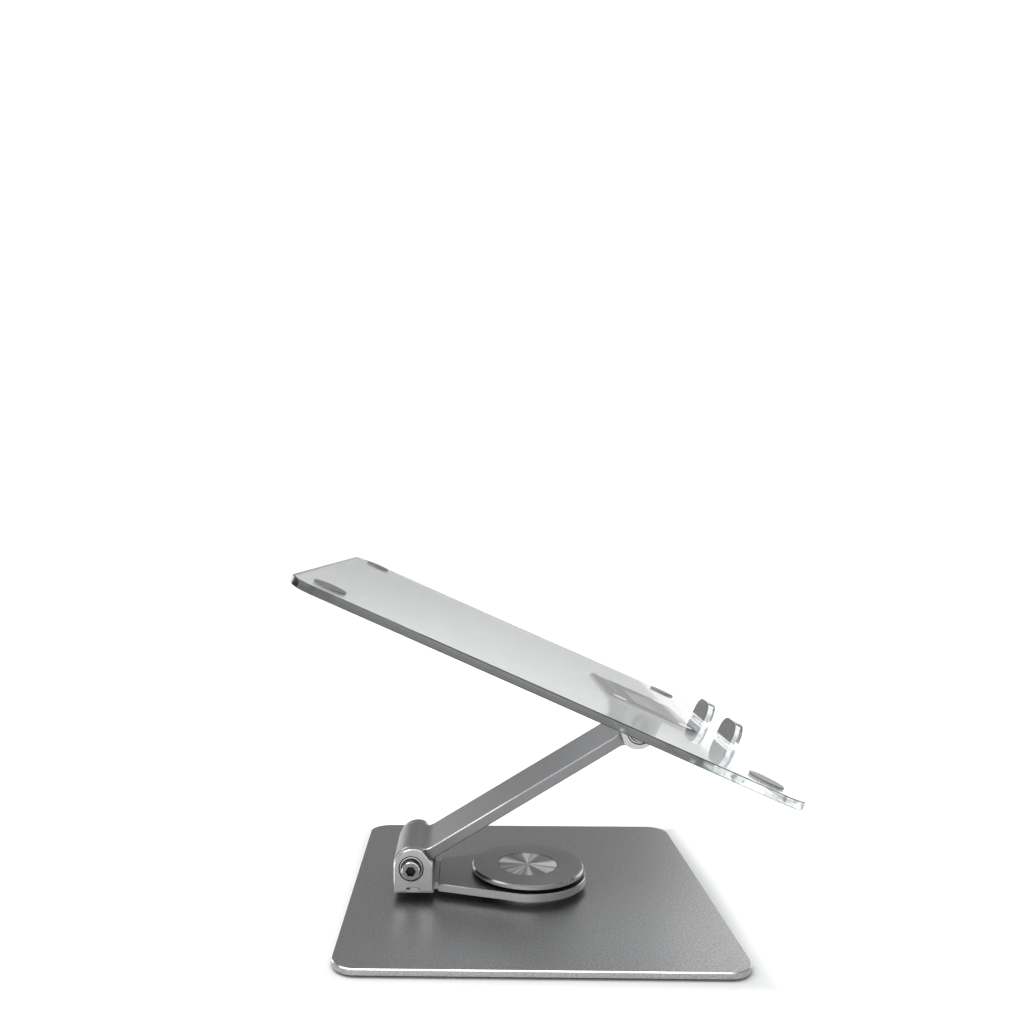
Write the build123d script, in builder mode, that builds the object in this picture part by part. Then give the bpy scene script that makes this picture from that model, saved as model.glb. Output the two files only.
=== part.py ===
from build123d import *
import os
from math import acos, cos, degrees, radians, sin, tan

# Folding laptop stand: a square base plate, a turntable, a tilting arm between two friction
# hinges and a clear tray with two hooks at its low front edge.
# Millimetres. The origin lies on the turntable's axis at desk level, +Z is up, +X is the
# front (the user's side, where the hooks are) and -Y is the user's left.

os.makedirs("parts", exist_ok=True)

# ---------------------------------------------------------------- driving dimensions
# Base plate and its feet
BASE_SIDE = 200.0
BASE_THICK = 3.0
BASE_CORNER_R = 13.0
BASE_BEVEL = 0.45
FOOT_DROP = 1.5
FOOT_POCKET = 0.5
FOOT_R = 8.0
FOOT_BEVEL = 0.5
FOOT_PITCH = 168.0
CENTRE_FOOT_R = 13.5

# Turntable
HUB_FLANGE_R = 26.0
HUB_FLANGE_THICK = 3.0
SPIGOT_R = 13.0
PLATE_Z = 8.0
PLATE_THICK = 4.0
PLATE_END_R = 33.0
PLATE_TAPER = 16.4
PLATE_NECK_X = -50.8
PLATE_BEVEL = 0.4
NECK_HALF = 16.5
DISC_R = 31.85
DISC_THICK = 2.3
DISC_Z = 14.0
DISC_BEVEL = 0.8
CAP_R = 17.0
CAP_THICK = 0.75
CAP_POCKET = 0.9
CAP_BEVEL = 0.2
BUSHING_R = 15.0
BUSHING_FLANGE_R = 28.0
BUSHING_FLANGE_THICK = 0.6
LOWER_RING_R = 24.5
TURN_SPRING_R = 22.0
TURN_SPRING_THICK = 0.7

# Hinges: axes along Y, M6 bolts through two disc springs
LOWER_AXIS_X = -65.5
LOWER_AXIS_Z = 22.5
ARM_LENGTH = 146.0
ARM_ANGLE = 31.2
TRAY_TILT = 23.74
ARM_WIDTH = 40.0
ARM_THICK = 6.0
LOWER_BARREL_R = 10.2
UPPER_BARREL_R = 9.5
ARM_FILLET = 8.0
ARM_BEVEL = 0.5
EAR_INNER = 20.5
EAR_THICK = 5.0
EAR_OFFSET = 1.15
LOWER_EAR_R = 10.7
UPPER_EAR_R = 10.0
EAR_FLAT_DEPTH = 1.1
EAR_FLAT_ANGLE = 39.0
EAR_BEVEL = 0.4
POCKET_R = 6.5
POCKET_DEPTH = 2.6
POCKET_BEVEL = 0.4
CHEEK_FOOT_Z = 9.9
CHEEK_SOLE_Z = 8.4
CHEEK_STEP = 3.0
NOTCH_WIDTH = 7.4
NOTCH_HEIGHT = 2.5
NOTCH_X = 1.0
NOTCH_CORNER_R = 0.9
TAB_WIDTH = 4.9
TAB_HEIGHT = 2.05
TAB_SHIFT = 0.75
TAB_SETBACK = 0.8
DOWEL_R = 1.0
DOWEL_IN_PLATE = 4.0
DOWEL_IN_CHEEK = 1.6
DOWEL_PITCH = 15.0

# Hinge hardware
BOLT_R = 3.0
BOLT_HEAD_R = 5.0
BOLT_HEAD_HEIGHT = 4.0
BOLT_HEAD_BEVEL = 0.4
BOLT_SOCKET = 5.0
BOLT_SOCKET_DEPTH = 2.2
BOLT_TAIL = 5.0
BOLT_TIP_BEVEL = 0.8
SPRING_R = 6.25
SPRING_THICK = 0.7
SPRING_RISE = 0.3
FLAT_WASHER_R = 6.0
FLAT_WASHER_THICK = 0.6
NUT_FLATS = 10.0
NUT_HEX_HEIGHT = 4.8
NUT_HEIGHT = 6.0
NUT_COLLAR_TAPER = 4.2
BUSH_R = 4.5
BUSH_LENGTH = 14.0
FRICTION_WASHER_R = 9.0
FRICTION_WASHER_THICK = 0.4

# Tray and its bracket, measured from the upper hinge axis
TRAY_DROP = 9.8
TRAY_THICK = 4.0
TRAY_WIDTH = 250.0
TRAY_FRONT = 55.5
TRAY_REAR = 194.5
TRAY_CORNER_R = 13.0
TRAY_EDGE_BEVEL = 0.35
HOOK_WIDTH = 25.0
HOOK_CENTRE = 26.6
HOOK_INNER = 42.5
HOOK_TOP = 26.7
HOOK_BEND_R = 2.0
HOOK_CORNER_R = 8.0
HOOK_KERF = 1.0
GASKET_THICK = 0.5
BRACKET_THICK = 2.0
BRACKET_HALF_DEPTH = 26.0
BRACKET_HALF_WIDTH = 38.0
BRACKET_CORNER_R = 6.0
BRACKET_EDGE_BEVEL = 0.3
WINDOW_HALF = 7.6
TRAY_SCREW_PITCH_S = 38.0
TRAY_SCREW_PITCH_Y = 64.0
TRAY_PAD_R = 8.0
TRAY_PAD_THICK = 1.0
TRAY_PAD_INSET = 17.0
HOOK_PAD_MARGIN = 0.3
HOOK_PAD_THICK = 0.5

# Screws and fits
M4_R = 2.0
M4_HEAD_R = 4.0
M4_DRIVE_R = 1.35
M3_R = 1.5
M3_HEAD_R = 2.8
M3_DRIVE_R = 0.95
SCREW_END_GAP = 0.25
HUB_SCREW_R = 19.0
HUB_SCREW_COUNT = 4
DISC_SCREW_R = 9.0
DISC_SCREW_COUNT = 3
DISC_SCREW_LENGTH = 6.5
PLAY = 0.05
RUNNING_FIT = 0.06
AXIAL_PLAY = 0.05

# ---------------------------------------------------------------- derived places
base_top = FOOT_DROP + BASE_THICK
plate_top = PLATE_Z + PLATE_THICK
disc_top = DISC_Z + DISC_THICK
ear_outer = EAR_INNER + EAR_THICK
pocket_floor = ear_outer - POCKET_DEPTH

arm_along = (cos(radians(ARM_ANGLE)), 0, sin(radians(ARM_ANGLE)))
upper_axis_x = LOWER_AXIS_X + ARM_LENGTH * arm_along[0]
upper_axis_z = LOWER_AXIS_Z + ARM_LENGTH * arm_along[2]
tray_along = (cos(radians(TRAY_TILT)), 0, -sin(radians(TRAY_TILT)))
tray_up = (sin(radians(TRAY_TILT)), 0, cos(radians(TRAY_TILT)))


def tray_plane(height):
    """Plane parallel to the tray: local x runs to the front, local y is +Y."""
    origin = (upper_axis_x + height * tray_up[0], 0, upper_axis_z + height * tray_up[2])
    return Plane(origin=origin, x_dir=tray_along, z_dir=tray_up)


def side_plane(x, y, z, x_dir=(1, 0, 0), outward=-1):
    """Plane square to a hinge axis, its normal pointing to -Y or +Y."""
    return Plane(origin=(x, y, z), x_dir=x_dir, z_dir=(0, outward, 0))


def lower_side(y, outward=-1):
    return side_plane(LOWER_AXIS_X, y, LOWER_AXIS_Z, outward=outward)


def upper_side(y, outward=-1):
    return side_plane(upper_axis_x, y, upper_axis_z, outward=outward)


def save(builder, name):
    builder.part.label = name
    export_step(builder.part, f"parts/{name}.step")


# ---------------------------------------------------------------- base and feet
with BuildPart() as base_plate:
    with BuildSketch(Plane.XY.offset(FOOT_DROP)):
        RectangleRounded(BASE_SIDE, BASE_SIDE, BASE_CORNER_R)
    extrude(amount=BASE_THICK)
    chamfer(base_plate.faces().sort_by(Axis.Z)[-1].edges(), BASE_BEVEL)
    with BuildSketch(Plane.XY.offset(FOOT_DROP)):
        with GridLocations(FOOT_PITCH, FOOT_PITCH, 2, 2):
            Circle(FOOT_R + PLAY)
        Circle(CENTRE_FOOT_R + PLAY)
    extrude(amount=FOOT_POCKET, mode=Mode.SUBTRACT)
    with Locations(Plane(origin=(0, 0, FOOT_DROP), z_dir=(0, 0, -1))):
        with PolarLocations(HUB_SCREW_R, HUB_SCREW_COUNT, start_angle=45):
            CounterSinkHole(M4_R + PLAY, M4_HEAD_R + PLAY, depth=BASE_THICK)
save(base_plate, "base_plate")

with BuildPart() as corner_feet:
    with BuildSketch():
        with GridLocations(FOOT_PITCH, FOOT_PITCH, 2, 2):
            Circle(FOOT_R)
    extrude(amount=FOOT_DROP + FOOT_POCKET)
    chamfer(corner_feet.edges().group_by(Axis.Z)[0], FOOT_BEVEL)
save(corner_feet, "corner_feet")

with BuildPart() as centre_foot:
    with BuildSketch():
        Circle(CENTRE_FOOT_R)
    extrude(amount=FOOT_DROP + FOOT_POCKET)
    chamfer(centre_foot.edges().group_by(Axis.Z)[0], FOOT_BEVEL)
save(centre_foot, "centre_foot")


# ---------------------------------------------------------------- turntable
def countersunk_screw(screw_r, head_r, length, drive_r, plane, spots):
    """Flat-head screws whose heads lie in the plane and whose shanks run against its normal."""
    drive_depth = head_r - screw_r
    with BuildPart(plane) as screws:
        with Locations(*spots):
            Cone(screw_r, head_r, head_r - screw_r, align=(Align.CENTER, Align.CENTER, Align.MAX))
            Cylinder(screw_r, length, align=(Align.CENTER, Align.CENTER, Align.MAX))
        with BuildSketch():
            with Locations(*spots):
                RegularPolygon(drive_r, 6)
        extrude(amount=-drive_depth, mode=Mode.SUBTRACT)
    return screws


def ring_of_spots(radius, count, first_angle):
    turns = [radians(first_angle + 360 * step / count) for step in range(count)]
    return [(radius * cos(turn), radius * sin(turn)) for turn in turns]


hub_spots = ring_of_spots(HUB_SCREW_R, HUB_SCREW_COUNT, 45)
hub_screws = countersunk_screw(
    M4_R, M4_HEAD_R, BASE_THICK + HUB_FLANGE_THICK - SCREW_END_GAP, M4_DRIVE_R,
    Plane(origin=(0, 0, FOOT_DROP), z_dir=(0, 0, -1)), hub_spots,
)
save(hub_screws, "hub_screws")

with BuildPart() as turntable_hub:
    with BuildSketch(Plane.XY.offset(base_top)):
        Circle(HUB_FLANGE_R)
        with PolarLocations(HUB_SCREW_R, HUB_SCREW_COUNT, start_angle=45):
            Circle(M4_R + PLAY, mode=Mode.SUBTRACT)
    extrude(amount=HUB_FLANGE_THICK)
    with BuildSketch(Plane.XY.offset(base_top)):
        Circle(SPIGOT_R)
    extrude(amount=DISC_Z - base_top)
    with BuildSketch(Plane.XY.offset(DISC_Z)):
        with PolarLocations(DISC_SCREW_R, DISC_SCREW_COUNT, start_angle=90):
            Circle(M3_R + PLAY)
    extrude(amount=-DISC_SCREW_LENGTH, mode=Mode.SUBTRACT)
save(turntable_hub, "turntable_hub")

lower_ring_z = base_top + HUB_FLANGE_THICK
with BuildPart() as lower_glide_ring:
    with BuildSketch(Plane.XY.offset(lower_ring_z)):
        Circle(LOWER_RING_R)
        Circle(SPIGOT_R + PLAY, mode=Mode.SUBTRACT)
    extrude(amount=PLATE_Z - lower_ring_z - AXIAL_PLAY)
save(lower_glide_ring, "lower_glide_ring")

with BuildPart() as turntable_bushing:
    with BuildSketch(Plane.XY.offset(PLATE_Z)):
        Circle(BUSHING_R)
    extrude(amount=PLATE_THICK)
    with BuildSketch(Plane.XY.offset(plate_top)):
        Circle(BUSHING_FLANGE_R)
    extrude(amount=BUSHING_FLANGE_THICK)
    with BuildSketch(Plane.XY.offset(PLATE_Z)):
        Circle(SPIGOT_R + RUNNING_FIT)
    extrude(amount=PLATE_THICK + BUSHING_FLANGE_THICK, mode=Mode.SUBTRACT)
save(turntable_bushing, "turntable_bushing")

# A dished spring ring presses the turntable down and gives the swivel its drag.
spring_low = plate_top + BUSHING_FLANGE_THICK + AXIAL_PLAY
spring_high = DISC_Z - AXIAL_PLAY
with BuildPart() as turntable_spring:
    with BuildSketch(Plane.XZ):
        with BuildLine():
            Polyline(
                (SPIGOT_R + 2 * PLAY, spring_high - TURN_SPRING_THICK),
                (TURN_SPRING_R, spring_low),
                (TURN_SPRING_R, spring_low + TURN_SPRING_THICK),
                (SPIGOT_R + 2 * PLAY, spring_high),
                close=True,
            )
        make_face()
    revolve(axis=Axis.Z)
save(turntable_spring, "turntable_spring")

with BuildPart() as turntable_disc:
    with BuildSketch(Plane.XY.offset(DISC_Z)):
        Circle(DISC_R)
    extrude(amount=DISC_THICK)
    chamfer(turntable_disc.edges().group_by(Axis.Z)[-1], DISC_BEVEL)
    with BuildSketch(Plane.XY.offset(disc_top)):
        Circle(CAP_R + PLAY)
    extrude(amount=-CAP_POCKET, mode=Mode.SUBTRACT)
    with Locations(Plane.XY.offset(disc_top - CAP_POCKET)):
        with PolarLocations(DISC_SCREW_R, DISC_SCREW_COUNT, start_angle=90):
            CounterSinkHole(M3_R + PLAY, M3_HEAD_R + PLAY, depth=DISC_THICK)
save(turntable_disc, "turntable_disc")

disc_screws = countersunk_screw(
    M3_R, M3_HEAD_R, DISC_SCREW_LENGTH - SCREW_END_GAP, M3_DRIVE_R,
    Plane.XY.offset(disc_top - CAP_POCKET), ring_of_spots(DISC_SCREW_R, DISC_SCREW_COUNT, 90),
)
save(disc_screws, "disc_screws")

with BuildPart() as disc_cap:
    with BuildSketch(Plane.XY.offset(disc_top - CAP_POCKET)):
        Circle(CAP_R)
    extrude(amount=CAP_THICK)
    chamfer(disc_cap.edges().group_by(Axis.Z)[-1], CAP_BEVEL)
save(disc_cap, "disc_cap")

# ---------------------------------------------------------------- swivel plate
taper = radians(PLATE_TAPER)
tangent_x = -PLATE_END_R * sin(taper)
tangent_y = PLATE_END_R * cos(taper)
shoulder_half = PLATE_END_R / cos(taper) + PLATE_NECK_X * tan(taper)
cheek_rear = LOWER_AXIS_X + EAR_OFFSET - LOWER_EAR_R
cheek_front = LOWER_AXIS_X + EAR_OFFSET + LOWER_EAR_R
notch_x = LOWER_AXIS_X + NOTCH_X
dowel_z = PLATE_Z + PLATE_THICK / 2
dowel_spots = (notch_x - DOWEL_PITCH / 2, notch_x + DOWEL_PITCH / 2)

with BuildPart() as swivel_plate:
    with BuildSketch(Plane.XY.offset(PLATE_Z)):
        with BuildLine():
            Line((PLATE_NECK_X, -shoulder_half), (tangent_x, -tangent_y))
            ThreePointArc((tangent_x, -tangent_y), (PLATE_END_R, 0), (tangent_x, tangent_y))
            Line((tangent_x, tangent_y), (PLATE_NECK_X, shoulder_half))
            Line((PLATE_NECK_X, shoulder_half), (PLATE_NECK_X, -shoulder_half))
        make_face()
    extrude(amount=PLATE_THICK)
    chamfer(swivel_plate.faces().sort_by(Axis.Z)[-1].edges(), PLATE_BEVEL)
    with BuildSketch(Plane.XY.offset(PLATE_Z)):
        with BuildLine():
            Polyline(
                (PLATE_NECK_X + 2 * PLATE_BEVEL, -NECK_HALF),
                (cheek_front + PLATE_BEVEL, -NECK_HALF),
                (cheek_front + PLATE_BEVEL, -EAR_INNER),
                (cheek_rear, -EAR_INNER),
                (cheek_rear, EAR_INNER),
                (cheek_front + PLATE_BEVEL, EAR_INNER),
                (cheek_front + PLATE_BEVEL, NECK_HALF),
                (PLATE_NECK_X + 2 * PLATE_BEVEL, NECK_HALF),
                close=True,
            )
        make_face()
    extrude(amount=PLATE_THICK - PLATE_BEVEL)
    # Side tabs that key into the notches of the two hinge cheeks
    with BuildSketch(Plane.XY.offset(CHEEK_FOOT_Z)):
        with Locations((notch_x + TAB_SHIFT, 0)):
            Rectangle(TAB_WIDTH, 2 * ear_outer - 2 * TAB_SETBACK)
    extrude(amount=TAB_HEIGHT)
    with BuildSketch(Plane.XY.offset(PLATE_Z)):
        Circle(BUSHING_R + PLAY)
    extrude(amount=PLATE_THICK, mode=Mode.SUBTRACT)
    for outward in (-1, 1):
        with Locations(*[side_plane(x, outward * EAR_INNER, dowel_z, outward=outward)
                         for x in dowel_spots]):
            Hole(DOWEL_R + PLAY, depth=DOWEL_IN_PLATE + PLAY)
save(swivel_plate, "swivel_plate")

with BuildPart() as cheek_dowels:
    for outward in (-1, 1):
        dowel_start = outward * (EAR_INNER - DOWEL_IN_PLATE)
        with Locations(*[side_plane(x, dowel_start, dowel_z, outward=outward)
                         for x in dowel_spots]):
            Cylinder(
                DOWEL_R, DOWEL_IN_PLATE + DOWEL_IN_CHEEK,
                align=(Align.CENTER, Align.CENTER, Align.MIN),
            )
save(cheek_dowels, "cheek_dowels")


# ---------------------------------------------------------------- hinge ears
def ear_outline(radius, reach):
    """Upright ear: foot at -reach, round top with one flat facing the arm (+x)."""
    half_flat = degrees(acos((radius - EAR_FLAT_DEPTH) / radius))
    flat_start = EAR_FLAT_ANGLE + half_flat
    flat_end = EAR_FLAT_ANGLE - half_flat

    def rim(angle):
        return (EAR_OFFSET + radius * cos(radians(angle)), radius * sin(radians(angle)))

    Polyline(rim(0), (rim(0)[0], -reach), (rim(180)[0], -reach), rim(180))
    ThreePointArc(rim(180), rim((180 + flat_start) / 2), rim(flat_start))
    Line(rim(flat_start), rim(flat_end))
    ThreePointArc(rim(flat_end), rim(flat_end / 2), rim(0))


def bolt_pocket(plane):
    """Pocket for disc springs or a nut, with a bevelled mouth, sunk into an ear's outer face."""
    with Locations(plane):
        CounterBoreHole(BOLT_R + 2 * PLAY, POCKET_R, POCKET_DEPTH, depth=EAR_THICK)
        Cone(
            POCKET_R, POCKET_R + POCKET_BEVEL, POCKET_BEVEL,
            align=(Align.CENTER, Align.CENTER, Align.MAX), mode=Mode.SUBTRACT,
        )


def hinge_cheek(side):
    """Lower hinge cheek on side -1 (left) or +1 (right), with its bolt pocket outside."""
    with BuildPart() as cheek:
        with BuildSketch(lower_side(side * EAR_INNER)):
            with BuildLine():
                ear_outline(LOWER_EAR_R, LOWER_AXIS_Z - CHEEK_FOOT_Z)
            make_face()
        extrude(amount=-side * EAR_THICK)
        outer_face = cheek.faces().sort_by(Axis.Y)[0 if side < 0 else -1]
        chamfer(outer_face.edges(), EAR_BEVEL)
        # Inner foot, stepped back under the outer face, which holds the dowels
        with BuildSketch(lower_side(side * EAR_INNER)):
            with Locations((EAR_OFFSET, CHEEK_SOLE_Z - LOWER_AXIS_Z)):
                Rectangle(
                    2 * LOWER_EAR_R, CHEEK_FOOT_Z - CHEEK_SOLE_Z,
                    align=(Align.CENTER, Align.MIN),
                )
        extrude(amount=-side * (EAR_THICK - CHEEK_STEP))
        with BuildSketch(lower_side(side * EAR_INNER)) as notch:
            with Locations((NOTCH_X, CHEEK_FOOT_Z - LOWER_AXIS_Z + NOTCH_HEIGHT / 2)):
                Rectangle(NOTCH_WIDTH, NOTCH_HEIGHT)
            fillet(notch.vertices().group_by(Axis.Y)[-1], NOTCH_CORNER_R)
        extrude(amount=-side * EAR_THICK, mode=Mode.SUBTRACT)
        bolt_pocket(lower_side(side * ear_outer, outward=side))
        with Locations(*[side_plane(x, side * EAR_INNER, dowel_z, outward=-side)
                         for x in dowel_spots]):
            Hole(DOWEL_R + PLAY, depth=DOWEL_IN_CHEEK + PLAY)
    return cheek


save(hinge_cheek(-1), "lower_left_cheek")
save(hinge_cheek(1), "lower_right_cheek")

# ---------------------------------------------------------------- arm
arm_plane = Plane(origin=(LOWER_AXIS_X, 0, LOWER_AXIS_Z), x_dir=arm_along, z_dir=(0, -1, 0))
with BuildPart() as arm:
    with BuildSketch(arm_plane) as arm_profile:
        with Locations((ARM_LENGTH / 2, 0)):
            Rectangle(ARM_LENGTH, ARM_THICK)
        Circle(LOWER_BARREL_R)
        with Locations((ARM_LENGTH, 0)):
            Circle(UPPER_BARREL_R)
        waist = arm_profile.vertices().filter_by(
            lambda corner: abs(abs(arm_plane.to_local_coords(corner).Y) - ARM_THICK / 2) < PLAY
        )
        fillet(waist, ARM_FILLET)
    extrude(amount=ARM_WIDTH / 2, both=True)
    chamfer(
        arm.faces().sort_by(Axis.Y)[0].edges() + arm.faces().sort_by(Axis.Y)[-1].edges(),
        ARM_BEVEL,
    )
    with BuildSketch(arm_plane):
        with Locations((0, 0), (ARM_LENGTH, 0)):
            Circle(BUSH_R + PLAY / 2)
    extrude(amount=ARM_WIDTH / 2, both=True, mode=Mode.SUBTRACT)
save(arm, "arm")


# ---------------------------------------------------------------- hinge hardware
def washers(side_of, radius, hole_r, thick, starts):
    """One flat washer per start, each reaching outwards from its own y."""
    with BuildPart() as stack:
        for start in starts:
            outward = -1 if start < 0 else 1
            with BuildSketch(side_of(start, outward)):
                Circle(radius)
                Circle(hole_r, mode=Mode.SUBTRACT)
            extrude(amount=thick)
    return stack


def disc_spring_pair(x, z, base_y):
    """Two dished washers, edge to edge, stacked outwards (-Y) from base_y."""
    height = SPRING_THICK + SPRING_RISE
    bore = BOLT_R + 2 * PLAY
    with BuildPart() as pair:
        with BuildSketch(Plane.XY):
            for flip in (0, 1):
                low = base_y - height * (1 + flip)
                inner = low if flip else low + SPRING_RISE
                outer = low + SPRING_RISE if flip else low
                with BuildLine():
                    Polyline(
                        (bore, inner), (SPRING_R, outer),
                        (SPRING_R, outer + SPRING_THICK), (bore, inner + SPRING_THICK),
                        close=True,
                    )
                make_face()
        revolve(axis=Axis.Y)
    pair.part.position = (x, 0, z)
    return pair


def socket_bolt(side_of):
    """M6 socket-head bolt from left to right, its head standing on the disc springs."""
    with BuildPart() as bolt:
        with BuildSketch(side_of(-ear_outer)):
            Circle(BOLT_HEAD_R)
        extrude(amount=BOLT_HEAD_HEIGHT)
        chamfer(bolt.edges().group_by(Axis.Y)[0], BOLT_HEAD_BEVEL)
        with BuildSketch(side_of(-ear_outer)):
            Circle(BOLT_R)
        extrude(amount=-(2 * ear_outer + BOLT_TAIL))
        chamfer(bolt.edges().group_by(Axis.Y)[-1], BOLT_TIP_BEVEL)
        with BuildSketch(side_of(-ear_outer - BOLT_HEAD_HEIGHT)):
            RegularPolygon(BOLT_SOCKET / 2, 6, major_radius=False)
        extrude(amount=-BOLT_SOCKET_DEPTH, mode=Mode.SUBTRACT)
    return bolt


def lock_nut(side_of):
    """Nylon-insert hex nut on the right-hand end of the bolt."""
    seat = pocket_floor + FLAT_WASHER_THICK
    with BuildPart() as nut:
        with BuildSketch(side_of(seat, 1)):
            RegularPolygon(NUT_FLATS / 2, 6, major_radius=False)
        extrude(amount=NUT_HEX_HEIGHT)
        with BuildSketch(side_of(seat, 1)):
            Circle(NUT_FLATS / 2)
        extrude(amount=NUT_HEIGHT, taper=NUT_COLLAR_TAPER)
        with BuildSketch(side_of(seat, 1)):
            Circle(BOLT_R + PLAY)
        extrude(amount=NUT_HEIGHT, mode=Mode.SUBTRACT)
    return nut


def bush_pair(side_of):
    """Two plain bearings pressed into the ends of a barrel."""
    with BuildPart() as bushes:
        for outward in (-1, 1):
            with BuildSketch(side_of(outward * ARM_WIDTH / 2, outward)):
                Circle(BUSH_R)
                Circle(BOLT_R + RUNNING_FIT, mode=Mode.SUBTRACT)
            extrude(amount=-BUSH_LENGTH)
    return bushes


def save_hinge(hinge, side_of, x, z):
    """Everything on one hinge bolt, named after its hinge."""
    save(socket_bolt(side_of), f"{hinge}_hinge_bolt")
    save(lock_nut(side_of), f"{hinge}_hinge_nut")
    save(disc_spring_pair(x, z, -pocket_floor - FLAT_WASHER_THICK), f"{hinge}_disc_springs")
    save(washers(side_of, FLAT_WASHER_R, BOLT_R + 2 * PLAY, FLAT_WASHER_THICK,
                 (-pocket_floor, pocket_floor)), f"{hinge}_flat_washers")
    save(bush_pair(side_of), f"{hinge}_hinge_bushes")
    save(washers(side_of, FRICTION_WASHER_R, BOLT_R + RUNNING_FIT, FRICTION_WASHER_THICK,
                 (-ARM_WIDTH / 2, ARM_WIDTH / 2)), f"{hinge}_friction_washers")


save_hinge("lower", lower_side, LOWER_AXIS_X, LOWER_AXIS_Z)
save_hinge("upper", upper_side, upper_axis_x, upper_axis_z)

# ---------------------------------------------------------------- upper bracket
bracket_top = TRAY_DROP - GASKET_THICK
bracket_low = bracket_top - BRACKET_THICK
ear_reversed = tuple(-part for part in tray_along)

with BuildPart() as upper_bracket:
    with BuildSketch(tray_plane(bracket_low)):
        RectangleRounded(2 * BRACKET_HALF_DEPTH, 2 * BRACKET_HALF_WIDTH, BRACKET_CORNER_R)
    bracket_slab = extrude(amount=BRACKET_THICK)
    chamfer(bracket_slab.faces().sort_by(Axis(origin=(0, 0, 0), direction=tray_up))[0].edges(),
            BRACKET_EDGE_BEVEL)
    for side in (-1, 1):
        with BuildSketch(side_plane(upper_axis_x, side * EAR_INNER, upper_axis_z, ear_reversed)):
            with BuildLine():
                ear_outline(UPPER_EAR_R, bracket_low + BRACKET_THICK / 2)
            make_face()
        extrude(amount=-side * EAR_THICK)
        bolt_pocket(upper_side(side * ear_outer, outward=side))
    with BuildSketch(tray_plane(bracket_top)):
        Rectangle(2 * WINDOW_HALF, 2 * EAR_INNER)
        with GridLocations(TRAY_SCREW_PITCH_S, TRAY_SCREW_PITCH_Y, 2, 2):
            Circle(M4_R + PLAY)
    extrude(amount=-BRACKET_THICK, mode=Mode.SUBTRACT)
save(upper_bracket, "upper_bracket")

with BuildPart() as bracket_gasket:
    with BuildSketch(tray_plane(bracket_top)):
        RectangleRounded(2 * BRACKET_HALF_DEPTH, 2 * BRACKET_HALF_WIDTH, BRACKET_CORNER_R)
        Rectangle(2 * WINDOW_HALF, 2 * EAR_INNER, mode=Mode.SUBTRACT)
        with GridLocations(TRAY_SCREW_PITCH_S, TRAY_SCREW_PITCH_Y, 2, 2):
            Circle(M4_R + PLAY, mode=Mode.SUBTRACT)
    extrude(amount=GASKET_THICK)
save(bracket_gasket, "bracket_gasket")

# ---------------------------------------------------------------- tray with its two hooks
tray_top = TRAY_DROP + TRAY_THICK
tray_middle = (TRAY_FRONT - TRAY_REAR) / 2
tray_depth = TRAY_FRONT + TRAY_REAR
hook_outer = HOOK_INNER + TRAY_THICK
bend_start = HOOK_INNER - HOOK_BEND_R
bend_outer_r = HOOK_BEND_R + TRAY_THICK


def bent(radius, angle):
    """Point on the hook's bend, seen from the side in the tray's own frame."""
    turn = radians(angle)
    return (bend_start + radius * sin(turn), tray_top + HOOK_BEND_R - radius * cos(turn))


with BuildPart() as tray_plate:
    with BuildSketch(tray_plane(TRAY_DROP)):
        with Locations((tray_middle, 0)):
            RectangleRounded(tray_depth, TRAY_WIDTH, TRAY_CORNER_R)
    extrude(amount=TRAY_THICK)
    tray_faces = tray_plate.faces().sort_by(Axis(origin=(0, 0, 0), direction=tray_up))
    chamfer(tray_faces[0].edges() + tray_faces[-1].edges(), TRAY_EDGE_BEVEL)
    # Each hook is bent up from a tongue between two saw cuts, which leaves a gap in the front edge
    with BuildSketch(tray_plane(TRAY_DROP)):
        with Locations((bend_start, -HOOK_CENTRE), (bend_start, HOOK_CENTRE)):
            Rectangle(
                TRAY_FRONT, HOOK_WIDTH + 2 * HOOK_KERF, align=(Align.MIN, Align.CENTER)
            )
    extrude(amount=TRAY_THICK, mode=Mode.SUBTRACT)
    with Locations(tray_plane(tray_top)):
        with GridLocations(TRAY_SCREW_PITCH_S, TRAY_SCREW_PITCH_Y, 2, 2):
            CounterSinkHole(M4_R + PLAY, M4_HEAD_R + PLAY, depth=TRAY_THICK)
    for side in (-1, 1):
        hook_side = side_plane(
            upper_axis_x, side * HOOK_CENTRE - HOOK_WIDTH / 2, upper_axis_z, tray_along
        )
        with BuildSketch(hook_side):
            with BuildLine():
                Line((bend_start - HOOK_KERF, TRAY_DROP), bent(bend_outer_r, 0))
                ThreePointArc(bent(bend_outer_r, 0), bent(bend_outer_r, 45), bent(bend_outer_r, 90))
                Polyline(
                    bent(bend_outer_r, 90), (hook_outer, HOOK_TOP), (HOOK_INNER, HOOK_TOP),
                    bent(HOOK_BEND_R, 90),
                )
                ThreePointArc(bent(HOOK_BEND_R, 90), bent(HOOK_BEND_R, 45), bent(HOOK_BEND_R, 0))
                Polyline(
                    bent(HOOK_BEND_R, 0), (bend_start - HOOK_KERF, tray_top),
                    (bend_start - HOOK_KERF, TRAY_DROP),
                )
            make_face()
        extrude(amount=-HOOK_WIDTH)
    top_corners = tray_plate.edges().filter_by(Axis(origin=(0, 0, 0), direction=tray_along))
    hook_corners = top_corners.sort_by(
        lambda edge: tray_plane(0).to_local_coords(edge.center()).Z
    )[-4:]
    fillet(hook_corners, HOOK_CORNER_R)
save(tray_plate, "tray_plate")

tray_screw_spots = [
    (TRAY_SCREW_PITCH_S / 2 * front, TRAY_SCREW_PITCH_Y / 2 * side)
    for front in (-1, 1)
    for side in (-1, 1)
]
tray_screws = countersunk_screw(
    M4_R, M4_HEAD_R, tray_top - bracket_low - SCREW_END_GAP, M4_DRIVE_R,
    tray_plane(tray_top), tray_screw_spots,
)
save(tray_screws, "tray_screws")

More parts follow.
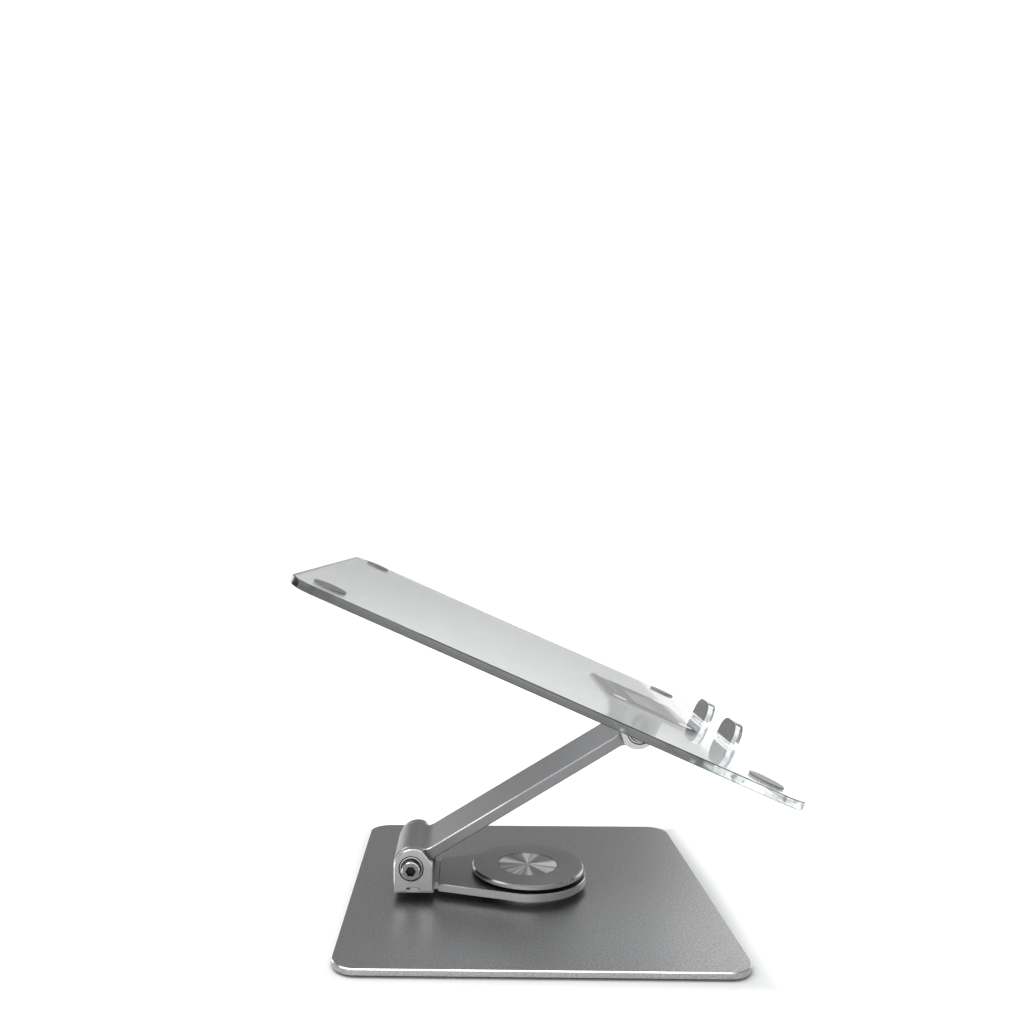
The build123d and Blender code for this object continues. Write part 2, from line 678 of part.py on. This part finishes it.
with BuildPart() as tray_pads:
    with BuildSketch(tray_plane(tray_top)):
        with Locations((tray_middle, 0)):
            with GridLocations(tray_depth - 2 * TRAY_PAD_INSET, TRAY_WIDTH - 2 * TRAY_PAD_INSET, 2, 2):
                Circle(TRAY_PAD_R)
    extrude(amount=TRAY_PAD_THICK)
save(tray_pads, "tray_pads")

pad_low = tray_top + HOOK_BEND_R + HOOK_PAD_MARGIN
pad_high = HOOK_TOP - HOOK_PAD_MARGIN
with BuildPart() as hook_pads:
    for side in (-1, 1):
        hook_face = Plane(
            origin=tray_plane(0).from_local_coords((HOOK_INNER, side * HOOK_CENTRE, 0)),
            x_dir=(0, -1, 0), z_dir=ear_reversed,
        )
        with BuildSketch(hook_face) as pad_outline:
            with Locations((0, pad_low)):
                Rectangle(
                    HOOK_WIDTH - 2 * HOOK_PAD_MARGIN, pad_high - pad_low,
                    align=(Align.CENTER, Align.MIN),
                )
            fillet(pad_outline.vertices().group_by(Axis.Y)[-1], HOOK_CORNER_R - HOOK_PAD_MARGIN)
        extrude(amount=HOOK_PAD_THICK)
save(hook_pads, "hook_pads")
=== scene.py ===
"""The folding laptop stand's looks: finishes for its CAD nodes, some with painted light and shade, a pale
floor, studio light and a camera.
"""

from math import cos, pi, radians, sin

import bpy
from mathutils import Matrix, Vector


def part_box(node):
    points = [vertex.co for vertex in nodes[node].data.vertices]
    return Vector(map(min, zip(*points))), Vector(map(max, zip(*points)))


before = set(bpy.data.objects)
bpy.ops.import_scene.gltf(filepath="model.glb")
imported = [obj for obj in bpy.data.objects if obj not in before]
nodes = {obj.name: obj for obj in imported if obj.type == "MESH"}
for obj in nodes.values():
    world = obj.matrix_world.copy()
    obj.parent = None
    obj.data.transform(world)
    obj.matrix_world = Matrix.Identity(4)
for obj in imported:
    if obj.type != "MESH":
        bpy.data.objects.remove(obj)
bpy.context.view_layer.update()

MM = 0.001

# Sizes on the stand that the finishes and their painted light and shade follow.
SOCKET_REACH = 2.95 * MM  # from a hinge's axis to just past the corners of its bolt's hexagon socket
SOCKET_LIP = 0.35 * MM  # how deep in the bolt's head its socket is painted black as shade
SPRING_HIGHLIGHT_REACH = 5.85 * MM  # from a hinge's axis to the rims of its disc springs and washers, which carry a painted highlight
POCKET_REACH = 6.95 * MM  # from a hinge's axis to just past the pocket around its bolt, which is painted dark as shade
CAP_SHADOW_LINE = 0.3 * MM  # width of the painted shadow line around the turned inlay
TURNING_PITCH = 0.7 * MM  # between two turned rings of the inlay
PAINTED_FAN_SIZE = 1 / 1.7  # of the inlay's fans of painted reflection, around a circle of radius 1

# How a face lies: its lean is the size of its normal along an axis, 1 when the face is square to that axis.
BEVEL_LEAN = sin(pi / 4)
BEVEL_MARGIN = 0.12
EDGE_LEAN = 0.3
FACE_LEAN = 0.8
DOWNWARD = -0.5


# ---------------------------------------------------------------- colours
def grey(level, blue=0.005):
    """A grey with a trace more blue in it, as bare and anodised metal have."""
    return (level, level, level + blue)


WHITE = (1.0, 1.0, 1.0)
# Painted shade for faces that point down.
UNDERSIDE_SHADE = grey(0.02, 0.0)
# Painted shade for the bolt sockets.
SOCKET_SHADE = grey(0.03, 0.0)
# Painted shade inside the hinge pockets.
POCKET_SHADE = grey(0.1, 0.0)
CUT_BRIGHT = grey(0.8, 0.01)
# Painted highlight for bolt head bevels.
STEEL_HIGHLIGHT = grey(0.82, 0.01)
# Painted highlight for the springs' rims.
SPRING_RIM_HIGHLIGHT = grey(0.48)
WORN_GAIN = 1.3  # how much lighter steel is where it is worn

# Satin aluminium: its faces are mottled between low and high, and its edges and bevels have their own tone.
# The sets are lit and shaded copies of one metal: the arm's is darker as painted shade, the cheeks' lighter
# as painted light, and the plate's side walls are lighter and its bevels darker than its faces, as painted
# light and shade.
PLATE_TONES = dict(low=grey(0.27), high=grey(0.36), edge=grey(0.45), bevel=grey(0.26))
ARM_SHADED_TONES = dict(low=grey(0.16), high=grey(0.2), edge=grey(0.26), bevel=grey(0.5, 0.01))
CHEEK_LIT_TONES = dict(low=grey(0.36), high=grey(0.44), edge=grey(0.3), bevel=CUT_BRIGHT)


# ---------------------------------------------------------------- node-tree helper
class Recipe:
    """A material with one Principled shader, and short calls that add nodes to it."""

    def __init__(self, name):
        self.material = bpy.data.materials.new(name)
        self.material.use_nodes = True
        self.tree = self.material.node_tree
        self.tree.nodes.clear()
        self.coords = self.add("TexCoord")
        self.shader = self.add("BsdfPrincipled")
        self.output = self.add("OutputMaterial", {"Surface": self.shader.outputs["BSDF"]})

    def put(self, socket, value):
        """Links value to socket if it is a socket itself, and otherwise sets it there."""
        if isinstance(value, bpy.types.NodeSocket):
            self.tree.links.new(value, socket)
        elif socket.type == "RGBA":
            socket.default_value = (*value, 1.0)
        else:
            socket.default_value = value

    def add(self, kind, inputs=(), **settings):
        node = self.tree.nodes.new("ShaderNode" + kind)
        for name, value in settings.items():
            setattr(node, name, value)
        for key, value in dict(inputs).items():
            self.put(node.inputs[key], value)
        return node

    def set(self, **inputs):
        """Puts values in the shader's sockets, named with underscores for spaces."""
        for key, value in inputs.items():
            self.put(self.shader.inputs[key.replace("_", " ")], value)

    def math(self, operation, *values):
        return self.add("Math", dict(enumerate(values)), operation=operation).outputs[0]

    def ramp(self, value, start, end, low=0.0, high=1.0, shape="LINEAR"):
        """low where value is under start, high where it is over end, and a slope between."""
        limits = {"From Min": start, "From Max": end, "To Min": low, "To Max": high}
        return self.add("MapRange", {"Value": value, **limits}, interpolation_type=shape).outputs["Result"]

    def mix_number(self, share, low, high):
        return self.ramp(share, 0.0, 1.0, low, high)

    def mix_colour(self, share, low, high):
        mix = self.add("Mix", data_type="RGBA")
        factor, first, second, mixed = mix.inputs[0], mix.inputs[6], mix.inputs[7], mix.outputs[2]
        for socket, value in ((factor, share), (first, low), (second, high)):
            self.put(socket, value)
        return mixed

    def noise(self, size, detail=2.0, roughness=0.5, where=None):
        """Noise whose blotches are about size across, over the object or over the coordinates in where."""
        place = self.coords.outputs["Object"] if where is None else where
        settings = {"Scale": 1 / size, "Detail": detail, "Roughness": roughness}
        return self.add("TexNoise", {"Vector": place, **settings}).outputs["Fac"]

    def bump(self, height, distance, strength):
        node = self.add("Bump", {"Height": height, "Distance": distance, "Strength": strength})
        self.set(Normal=node.outputs["Normal"])

    def axis_part(self, output, axis):
        split = self.add("SeparateXYZ", {"Vector": self.coords.outputs[output]})
        return split.outputs[axis]

    def lean(self, axis):
        return self.math("ABSOLUTE", self.axis_part("Normal", axis))

    def reach(self, axes, centre=(0.0, 0.0)):
        """Distance from a line through centre, measured along the two axes that are square to the line."""
        offsets = [
            self.math("SUBTRACT", self.axis_part("Object", axis), start)
            for axis, start in zip(axes, centre)
        ]
        squares = [self.math("MULTIPLY", offset, offset) for offset in offsets]
        return self.math("SQRT", self.math("ADD", *squares))

    def bevel_mask(self, axis):
        """1 on 45-degree bevels around the faces square to axis, 0 elsewhere."""
        return self.math("COMPARE", self.lean(axis), BEVEL_LEAN, BEVEL_MARGIN)

    def edge_mask(self, axis):
        """1 on the walls that run along axis, 0 elsewhere."""
        return self.math("LESS_THAN", self.lean(axis), EDGE_LEAN)

    def face_mask(self, axis):
        """1 on the faces square to axis, 0 elsewhere."""
        return self.math("GREATER_THAN", self.lean(axis), FACE_LEAN)

    def with_shade_below(self, shade):
        """shade, but nearly black on faces that point down, as painted shade."""
        down = self.math("LESS_THAN", self.axis_part("Normal", "Z"), DOWNWARD)
        return self.mix_colour(down, shade, UNDERSIDE_SHADE)


# ---------------------------------------------------------------- finishes, with painted light and shade
def centre_xz(node):
    """Where the hinge axis of a bolt that lies along Y is."""
    low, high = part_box(node)
    return ((low.x + high.x) / 2, (low.z + high.z) / 2)


def blasted_aluminium():
    """Bead-blasted, anodised plate: glittering grain, faint blotches, diamond-cut bevel."""
    recipe = Recipe("blasted_aluminium")
    grain = recipe.noise(1.1 * MM, detail=3, roughness=0.75)
    blotches = recipe.math("MULTIPLY", recipe.noise(45 * MM, detail=3), 0.3)
    bevel = recipe.bevel_mask("Z")
    sparkle = recipe.ramp(grain, 0.32, 0.68)
    shade = recipe.mix_colour(sparkle, grey(0.25), grey(0.5))
    shade = recipe.mix_colour(blotches, shade, grey(0.41))
    shade = recipe.mix_colour(bevel, shade, CUT_BRIGHT)
    roughness = recipe.mix_number(bevel, recipe.mix_number(sparkle, 0.42, 0.3), 0.2)
    # The plate's downward faces are painted nearly black as shade.
    recipe.set(Base_Color=recipe.with_shade_below(shade), Metallic=1.0, Roughness=roughness)
    recipe.bump(grain, distance=0.09 * MM, strength=0.6)
    return recipe.material


def satin_aluminium(name, axis, low, high, edge, bevel, pocket_at=None):
    """Fine satin anodising on the faces square to axis, with cut edges and bevels around them, whose tones
    carry painted light and shade.

    pocket_at is the x and z of a hinge's axis, and the pocket around its bolt is painted dark as shade.
    """
    recipe = Recipe(name)
    grain = recipe.noise(0.45 * MM)
    cloud = recipe.noise(18 * MM, detail=3)
    on_edge = recipe.edge_mask(axis)
    on_bevel = recipe.bevel_mask(axis)
    shade = recipe.mix_colour(on_edge, recipe.mix_colour(cloud, low, high), edge)
    shade = recipe.mix_colour(on_bevel, shade, bevel)
    face_roughness = recipe.mix_number(grain, 0.28, 0.4)
    edge_roughness = recipe.mix_number(grain, 0.4, 0.52)
    roughness = recipe.mix_number(on_edge, face_roughness, edge_roughness)
    roughness = recipe.mix_number(on_bevel, roughness, 0.22)
    if pocket_at:
        # Painted shade darkens the pocket around the bolt.
        in_pocket = recipe.math("LESS_THAN", recipe.reach("XZ", pocket_at), POCKET_REACH)
        shade = recipe.mix_colour(in_pocket, shade, POCKET_SHADE)
        roughness = recipe.mix_number(in_pocket, roughness, 0.3)
    # Faces that point down are painted nearly black as shade.
    if axis == "Z":
        shade = recipe.with_shade_below(shade)
    recipe.set(Base_Color=shade, Metallic=1.0, Roughness=roughness)
    recipe.bump(grain, distance=0.012 * MM, strength=0.5)
    return recipe.material


def spun_aluminium():
    """Lathe-turned inlay: fine rings about Z that throw the light in radial fans, with more fans painted
    into its colour as painted reflection and a painted shadow line around its rim.
    """
    recipe = Recipe("spun_aluminium")
    radius = recipe.reach("XY")
    rings = recipe.math("SINE", recipe.math("MULTIPLY", radius, 2 * pi / TURNING_PITCH))
    angle = recipe.math("ARCTAN2", recipe.axis_part("Object", "Y"), recipe.axis_part("Object", "X"))
    sine, cosine = recipe.math("SINE", angle), recipe.math("COSINE", angle)
    around = recipe.add("CombineXYZ", {"X": cosine, "Y": sine}).outputs["Vector"]
    # Fans of painted reflection lighten and darken the face, and a painted shadow line darkens the outer
    # rim.
    streaks = recipe.noise(PAINTED_FAN_SIZE, detail=3, roughness=0.6, where=around)
    painted_fans = recipe.ramp(streaks, 0.42, 0.58)
    painted_rim = recipe.math("GREATER_THAN", radius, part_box("disc_cap")[1].x - CAP_SHADOW_LINE)
    face = recipe.mix_colour(painted_fans, grey(0.3), grey(0.98))
    recipe.set(
        Base_Color=recipe.mix_colour(painted_rim, face, grey(0.06, 0.0)),
        Metallic=1.0,
        Roughness=0.33,
        Anisotropic=0.8,
        Tangent=recipe.add("Tangent", direction_type="RADIAL", axis="Z").outputs["Tangent"],
    )
    recipe.bump(rings, distance=0.004 * MM, strength=0.35)
    return recipe.material


def finish_steel(recipe, colour, roughness, shaded_hollows=None, highlight=None, highlight_colour=STEEL_HIGHLIGHT):
    """Steel with a light tool grain and lighter worn patches.

    One mask paints hollows black as painted shade, and another paints edges in a lighter colour as painted
    highlights.
    """
    grain = recipe.noise(0.35 * MM)
    wear = recipe.noise(3 * MM, detail=4)
    shade = recipe.mix_colour(wear, colour, [WORN_GAIN * channel for channel in colour])
    shine = recipe.mix_number(grain, roughness, roughness + 0.12)
    # Painted highlight: the masked edges are lightened.
    if highlight is not None:
        shade = recipe.mix_colour(highlight, shade, highlight_colour)
        shine = recipe.mix_number(highlight, shine, 0.16)
    # Painted shade: the masked hollows are blackened.
    if shaded_hollows is not None:
        shade = recipe.mix_colour(shaded_hollows, shade, SOCKET_SHADE)
        shine = recipe.mix_number(shaded_hollows, shine, 0.5)
    recipe.set(Base_Color=shade, Metallic=1.0, Roughness=shine)
    recipe.bump(grain, distance=0.03 * MM, strength=0.4)
    return recipe.material


def steel(name, colour, roughness):
    """Plain plated or oiled steel."""
    return finish_steel(Recipe(name), colour, roughness)


def bolt_steel(name, bolt):
    """A hinge bolt's steel, with painted shade that blackens the hexagon socket in its head, and painted
    highlights on the head's bevels.
    """
    recipe = Recipe(name)
    head_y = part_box(bolt)[0].y
    # Painted shade blackens the socket, and painted highlights lighten the head's bevels.
    central = recipe.math("LESS_THAN", recipe.reach("XZ", centre_xz(bolt)), SOCKET_REACH)
    sunk = recipe.math("GREATER_THAN", recipe.axis_part("Object", "Y"), head_y + SOCKET_LIP)
    socket = recipe.math("MULTIPLY", central, sunk)
    return finish_steel(recipe, grey(0.2), 0.3, shaded_hollows=socket, highlight=recipe.bevel_mask("Y"))


def spring_steel(name, bolt):
    """Disc springs and washers around bolt, painted dark as shade, with painted highlights on their outer
    rims.
    """
    recipe = Recipe(name)
    # Painted shade: the springs' dark colour; painted highlight: their outer rims.
    painted_rim = recipe.math("GREATER_THAN", recipe.reach("XZ", centre_xz(bolt)), SPRING_HIGHLIGHT_REACH)
    return finish_steel(recipe, grey(0.05, 0.001), 0.2, highlight=painted_rim, highlight_colour=SPRING_RIM_HIGHLIGHT)


def bronze():
    """Oiled sintered bronze, open-pored."""
    recipe = Recipe("bearing_bronze")
    pores = recipe.noise(0.4 * MM, detail=3, roughness=0.8)
    recipe.set(
        Base_Color=recipe.mix_colour(pores, (0.36, 0.2, 0.09), (0.62, 0.4, 0.2)),
        Metallic=1.0,
        Roughness=recipe.mix_number(pores, 0.35, 0.6),
    )
    recipe.bump(pores, distance=0.03 * MM, strength=0.5)
    return recipe.material


def matt_polymer(name, dark, light, roughness, grain_size):
    """Moulded nylon or rubber with a fine matt grain."""
    recipe = Recipe(name)
    grain = recipe.noise(grain_size, detail=3, roughness=0.6)
    recipe.set(
        Base_Color=recipe.mix_colour(grain, dark, light),
        Roughness=recipe.mix_number(grain, roughness, roughness + 0.15),
        Specular_IOR_Level=0.35,
    )
    recipe.bump(grain, distance=0.04 * MM, strength=0.4)
    return recipe.material


def silicone():
    """Soft grey silicone with a satin skin."""
    recipe = Recipe("grey_silicone")
    grain = recipe.noise(0.8 * MM)
    dust = recipe.noise(4 * MM, detail=4)
    recipe.set(
        Base_Color=recipe.mix_colour(dust, grey(0.12), grey(0.19)),
        Roughness=recipe.mix_number(grain, 0.38, 0.52),
        Specular_IOR_Level=0.45,
    )
    recipe.bump(grain, distance=0.02 * MM, strength=0.3)
    return recipe.material


def clear_acrylic():
    """Cast sheet, clear through its faces. Its side edges have a soft painted glow."""
    painted_edge_glow = 0.11
    smear_stretch = (1.0, 0.4, 1.0)
    recipe = Recipe("clear_acrylic")
    ripple = recipe.noise(30 * MM)
    across = recipe.add("Mapping", {"Vector": recipe.coords.outputs["Object"], "Scale": smear_stretch})
    smears = recipe.noise(9 * MM, detail=4, where=across.outputs["Vector"])
    recipe.set(
        Base_Color=(0.82, 0.84, 0.845),
        Roughness=recipe.mix_number(smears, 0.015, 0.07),
        IOR=1.49,
        Transmission_Weight=1.0,
        Emission_Color=(0.97, 1.0, 1.0),
        # Painted light: a soft glow on the side edges.
        Emission_Strength=recipe.math("MULTIPLY", recipe.face_mask("Y"), painted_edge_glow),
    )
    recipe.bump(ripple, distance=0.05 * MM, strength=0.15)

    # The sheet's body takes a little of the light, and its shadow is light and even.
    body = recipe.add("VolumeAbsorption", {"Color": (0.45, 0.5, 0.5), "Density": 4.5})
    shadow = recipe.add("BsdfTransparent", {"Color": (0.8, 0.82, 0.825)})
    in_shadow = recipe.add("LightPath").outputs["Is Shadow Ray"]
    sheet = recipe.shader.outputs["BSDF"]
    surface = recipe.add("MixShader", {0: in_shadow, 1: sheet, 2: shadow.outputs["BSDF"]})
    recipe.put(recipe.output.inputs["Surface"], surface.outputs["Shader"])
    recipe.put(recipe.output.inputs["Volume"], body.outputs["Volume"])
    return recipe.material


def paint(names, material):
    for name in names:
        slots = nodes[name].data.materials
        slots.clear()
        slots.append(material)


paint(["base_plate"], blasted_aluminium())
# The plate tones paint the side walls lighter and the bevels darker, as painted light and shade.
paint(
    ["swivel_plate", "turntable_disc", "turntable_hub"],
    satin_aluminium("turned_aluminium", "Z", **PLATE_TONES),
)
# The arm's darker tones are painted shade.
paint(["arm"], satin_aluminium("arm_aluminium", "Y", **ARM_SHADED_TONES))
paint(["disc_cap"], spun_aluminium())
# The cheeks' and upper bracket's lighter tones are painted light.
for hinge, ears in (("lower", ["lower_left_cheek", "lower_right_cheek"]), ("upper", ["upper_bracket"])):
    bolt = f"{hinge}_hinge_bolt"
    paint(ears, satin_aluminium(f"{hinge}_hinge_aluminium", "Y", **CHEEK_LIT_TONES, pocket_at=centre_xz(bolt)))
    paint([bolt], bolt_steel(f"{hinge}_bolt_steel", bolt))
    paint([f"{hinge}_disc_springs", f"{hinge}_flat_washers"], spring_steel(f"{hinge}_spring_steel", bolt))
paint(
    ["lower_hinge_nut", "upper_hinge_nut", "hub_screws", "disc_screws", "tray_screws", "cheek_dowels"],
    steel("bolt_steel", grey(0.42, 0.01), roughness=0.28),
)
paint(["turntable_spring"], steel("spring_steel", grey(0.2), roughness=0.18))
paint(["lower_hinge_bushes", "upper_hinge_bushes"], bronze())
paint(
    ["lower_glide_ring", "turntable_bushing", "lower_friction_washers", "upper_friction_washers"],
    matt_polymer(
        "black_nylon", grey(0.008, 0.001), grey(0.02, 0.001), roughness=0.5, grain_size=0.6 * MM
    ),
)
paint(
    ["corner_feet", "centre_foot", "bracket_gasket"],
    matt_polymer(
        "black_rubber", grey(0.012, 0.0), grey(0.03, 0.0), roughness=0.7, grain_size=0.9 * MM
    ),
)
paint(["tray_pads", "hook_pads"], silicone())
paint(["tray_plate"], clear_acrylic())

# ---------------------------------------------------------------- stage
RING_STEPS = 64
FLOOR_RINGS = (0.001, 0.5, 1.2, 3.0)
SURROUND_RADIUS = 4.0
RISE_STEPS = 16

# How brightly the papers glow, and where they change.
NEAR_GLOW = 0.62
NEAR_FADE = 25 * MM
FAR_GLOW = 0.14
FAR_FADE = (0.3, 1.6)
SURROUND_GLOW = (0.55, 0.28)
SURROUND_FADE = (0.0, 2.0)


def round_sheet(name, profile, material):
    """A sheet turned about Z from profile, a list of (radius, height); it is not part of the stand."""
    turns = [2 * pi * step / RING_STEPS for step in range(RING_STEPS)]
    corners = [
        (radius * cos(turn), radius * sin(turn), height) for radius, height in profile for turn in turns
    ]
    faces = []
    for row in range(len(profile) - 1):
        this_ring = row * RING_STEPS
        next_ring = this_ring + RING_STEPS
        for step in range(RING_STEPS):
            after = (step + 1) % RING_STEPS
            faces.append((this_ring + step, this_ring + after, next_ring + after, next_ring + step))
    mesh = bpy.data.meshes.new(name)
    mesh.from_pydata(corners, [], faces)
    mesh.shade_smooth()
    mesh.materials.append(material)
    piece = bpy.data.objects.new(name, mesh)
    bpy.context.scene.collection.objects.link(piece)
    return piece


def glowing_paper(recipe, colour, glow):
    recipe.set(
        Base_Color=colour,
        Roughness=0.9,
        Specular_IOR_Level=0.0,
        Emission_Color=WHITE,
        Emission_Strength=glow,
    )
    return recipe.material


def floor_paper():
    """White paper that glows, but not near the base plate, so that the contact shadow stays dark."""
    recipe = Recipe("floor_paper")
    plate_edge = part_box("base_plate")[1].x
    sideways = [recipe.math("ABSOLUTE", recipe.axis_part("Object", axis)) for axis in "XY"]
    square_reach = recipe.math("MAXIMUM", *sideways)
    centre = recipe.coords.outputs["Object"]
    reach = recipe.add("VectorMath", {0: centre}, operation="LENGTH").outputs["Value"]
    near = recipe.ramp(square_reach, plate_edge, plate_edge + NEAR_FADE, 0.0, NEAR_GLOW, "SMOOTHSTEP")
    far = recipe.ramp(reach, *FAR_FADE, 0.0, FAR_GLOW, "SMOOTHSTEP")
    return glowing_paper(recipe, grey(0.8, 0.0), recipe.math("ADD", near, far))


def surround_paper():
    """Black paper that glows grey, less the higher it is."""
    recipe = Recipe("surround_paper")
    glow = recipe.ramp(recipe.axis_part("Object", "Z"), *SURROUND_FADE, *SURROUND_GLOW, "SMOOTHSTEP")
    return glowing_paper(recipe, grey(0.0, 0.0), glow)


round_sheet("floor", [(radius, 0.0) for radius in FLOOR_RINGS], floor_paper())

# A darker dome that only lights and reflects. The camera, and light that passes through the acrylic,
# don't meet it and see the white world.
rises = [radians(90 * step / RISE_STEPS) for step in range(RISE_STEPS)]
dome = [(SURROUND_RADIUS * cos(rise), SURROUND_RADIUS * sin(rise)) for rise in rises]
surround = round_sheet("surround", dome, surround_paper())
surround.visible_camera = False
surround.visible_transmission = False

# ---------------------------------------------------------------- light
SKY_STRENGTH = 1.05
AIM = Vector((0.0, 0.0, 90 * MM))

world = bpy.data.worlds.new("studio")
bpy.context.scene.world = world
world.use_nodes = True
sky = world.node_tree.nodes["Background"]
sky.inputs["Color"].default_value = (*WHITE, 1.0)
sky.inputs["Strength"].default_value = SKY_STRENGTH


def softbox(name, place, size, watts):
    """A lamp that is never seen itself, only its light and its reflection."""
    lamp = bpy.data.lights.new(name, "AREA")
    lamp.shape = "RECTANGLE"
    lamp.size, lamp.size_y = size
    lamp.energy = watts
    piece = bpy.data.objects.new(name, lamp)
    piece.location = place
    piece.rotation_euler = (AIM - Vector(place)).to_track_quat("-Z", "Y").to_euler()
    piece.visible_camera = False
    piece.visible_transmission = False
    bpy.context.scene.collection.objects.link(piece)


softbox("top_softbox", place=(-0.35, -0.4, 1.6), size=(2.4, 1.5), watts=30)
softbox("front_softbox", place=(-0.5, -1.6, 0.9), size=(1.4, 0.9), watts=9)
softbox("right_softbox", place=(1.0, 1.2, 0.55), size=(1.2, 0.7), watts=5)
softbox("left_softbox", place=(-1.1, 1.1, 0.55), size=(0.9, 0.6), watts=4)

# ---------------------------------------------------------------- camera
# It looks level along +Y from its place, and place and view are then turned about the turntable's axis.
SENSOR_WIDTH = 36.0
FOCAL_LENGTH = 31.0763
LENS_SHIFT = (0.0637, 0.0124)
NEAREST_SEEN = 10 * MM
CAMERA_X = -45.5 * MM
CAMERA_Y = -510.9 * MM
CAMERA_ABOVE_BASE = 205.7 * MM
CAMERA_TURN = radians(1.2)

camera_data = bpy.data.cameras.new("camera")
camera_data.sensor_width = SENSOR_WIDTH
camera_data.lens = FOCAL_LENGTH
camera_data.shift_x, camera_data.shift_y = LENS_SHIFT
camera_data.clip_start = NEAREST_SEEN
camera = bpy.data.objects.new("camera", camera_data)
base_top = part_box("base_plate")[1].z
place = Vector((CAMERA_X, CAMERA_Y, base_top + CAMERA_ABOVE_BASE))
camera.location = Matrix.Rotation(CAMERA_TURN, 3, "Z") @ place
camera.rotation_euler = (radians(90), 0.0, CAMERA_TURN)
bpy.context.scene.collection.objects.link(camera)
bpy.context.scene.camera = camera

view = bpy.context.scene.view_settings
view.view_transform = "Standard"
view.look = "None"
